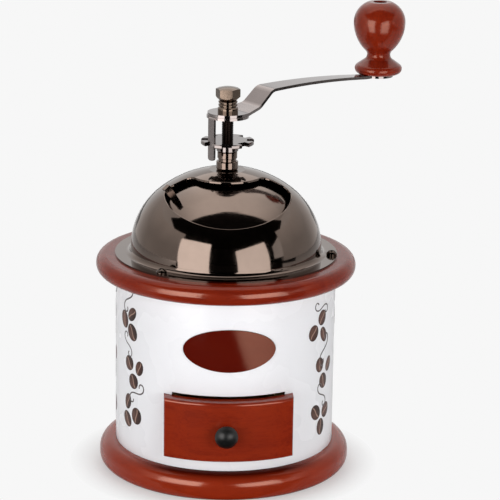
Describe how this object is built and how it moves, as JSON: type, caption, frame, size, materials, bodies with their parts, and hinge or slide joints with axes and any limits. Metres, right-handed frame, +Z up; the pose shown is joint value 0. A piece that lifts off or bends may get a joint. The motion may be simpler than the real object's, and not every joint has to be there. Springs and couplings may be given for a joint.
{
  "type": "coffee grinder mill",
  "caption": "Hand-cranked table coffee mill: turned wood base and ring, round white drum with a curved drawer, domed hopper with a turning shutter, bent crank and wooden grip.",
  "frame": {"origin": "centre of the base's underside, on the spindle's axis", "axes": "+Z up along the spindle, -Y towards the drawer, +X to the right seen from the front"},
  "size_m": [0.1564, 0.1393, 0.2247],
  "materials": {
    "mahogany": "gloss red-brown lacquer over fine grain",
    "white_lacquer": "gloss white lacquer",
    "pale_wood": "planed, unfinished",
    "plywood": "thin plywood",
    "black_chrome": "dark mirror plating",
    "gunmetal": "dark nickel plating",
    "nickel": "warm nickel plating",
    "dark_steel": "blackened, threaded",
    "black_screw": "black oxide",
    "zinc_steel": "zinc plated",
    "spring_steel": "bright drawn wire",
    "bronze": "sintered bronze",
    "iron": "rough cast, ground teeth",
    "graphite": "dark enamel"
  },
  "bodies": {
    "frame": {"base_disc": "mahogany", "drum": "white_lacquer", "front_plaque": "mahogany", "top_ring": "mahogany", "base_screws": "zinc_steel", "rail_screws": "zinc_steel", "ring_screws": "zinc_steel", "rail_left": "pale_wood", "rail_right": "pale_wood", "hopper_dome": "black_chrome", "flange_screws": "black_screw", "dome_bush": "nickel", "shutter_clip": "zinc_steel", "hopper_funnel": "zinc_steel", "bearing_bridge": "zinc_steel", "bridge_bush": "bronze", "bridge_screws": "zinc_steel", "outer_burr": "iron", "burr_screws": "zinc_steel"},
    "shutter": {"shutter": "black_chrome"},
    "drawer": {"drawer_front": "mahogany", "drawer_side_left": "pale_wood", "drawer_side_right": "pale_wood", "drawer_back": "pale_wood", "drawer_floor": "plywood", "drawer_knob": "graphite", "drawer_knob_screw": "zinc_steel"},
    "adjuster": {"adjusting_wheel": "gunmetal"},
    "spindle": {"spindle": "dark_steel", "inner_burr": "iron", "burr_washer": "zinc_steel", "burr_nut": "zinc_steel", "thrust_spring": "spring_steel", "spring_washer": "zinc_steel", "lock_plate": "gunmetal", "crank_arm": "gunmetal", "cap_nut": "nickel", "grip_stud": "nickel", "grip_washer": "nickel"},
    "grip": {"grip": "mahogany"}
  },
  "joints": [
    {"name": "drawer_slide", "type": "slide", "parent": "frame", "child": "drawer", "axis": [0, -1, 0], "range_m": [0, 0.06]},
    {"name": "shutter_turn", "type": "hinge", "parent": "frame", "child": "shutter", "pos_m": [0, 0, 0.147], "axis": [0, 0, 1], "range_deg": [0, 116]},
    {"name": "crank_turn", "type": "hinge", "parent": "frame", "child": "adjuster", "pos_m": [0, 0, 0.16], "axis": [0, 0, 1], "continuous": true},
    {"name": "grind_adjust", "type": "slide", "parent": "adjuster", "child": "spindle", "axis": [0, 0, 1], "range_m": [-0.0015, 0.001], "deforming": ["thrust_spring"]},
    {"name": "grip_spin", "type": "hinge", "parent": "spindle", "child": "grip", "pos_m": [0.07897, 0.05529, 0.21], "axis": [0, 0, 1], "continuous": true}
  ]
}
